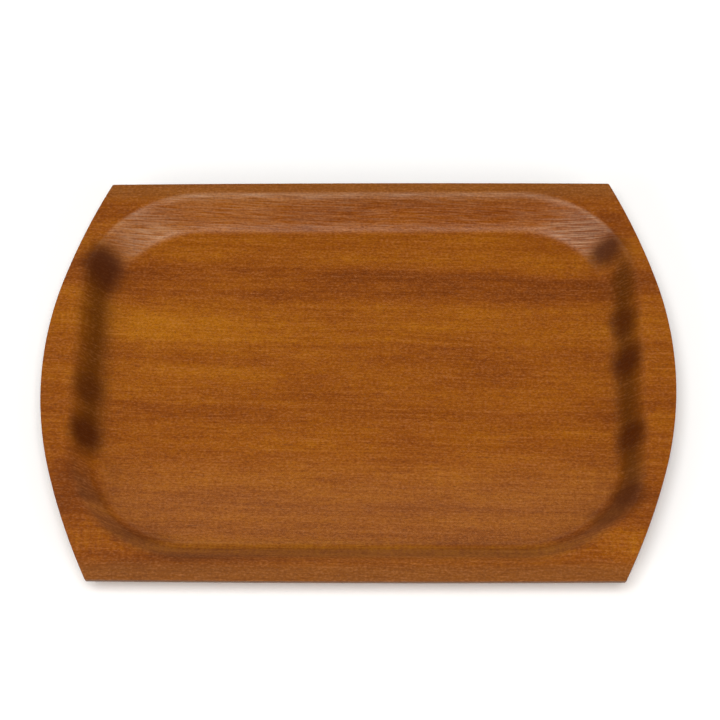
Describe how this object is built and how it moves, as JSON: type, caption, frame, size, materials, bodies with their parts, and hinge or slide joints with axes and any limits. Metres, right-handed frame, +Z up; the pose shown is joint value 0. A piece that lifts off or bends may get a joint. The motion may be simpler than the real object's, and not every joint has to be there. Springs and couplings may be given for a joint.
{
  "type": "serving tray",
  "caption": "Low moulded plywood serving tray with a sunken floor, sloped walls with rounded corners, and a flat flange that widens into hand-holds at the bowed ends.",
  "frame": {"origin": "middle of the trimmed outline, on the surface the tray stands on", "axes": "+X along the tray's length, +Y across it towards the side the recess is trimmed nearer to, +Z up out of the recess"},
  "size_m": [0.45, 0.3136, 0.024],
  "materials": {
    "face_veneer": "reddish golden-brown hardwood veneer, grain along the length, satin lacquer",
    "back_veneer": "plainer reddish brown veneer, grain along the length, thin satin lacquer",
    "long_grain_ply": "light hardwood ply showing long grain at the sides and end grain at the ends, lacquered edge",
    "cross_grain_ply": "hardwood crossband showing end grain at the sides and long grain at the ends, lacquered edge"
  },
  "bodies": {
    "root": {"top_face_veneer": "face_veneer", "upper_crossband": "cross_grain_ply", "upper_long_ply": "long_grain_ply", "centre_cross_ply": "cross_grain_ply", "lower_long_ply": "long_grain_ply", "lower_crossband": "cross_grain_ply", "bottom_face_veneer": "back_veneer"}
  },
  "joints": []
}
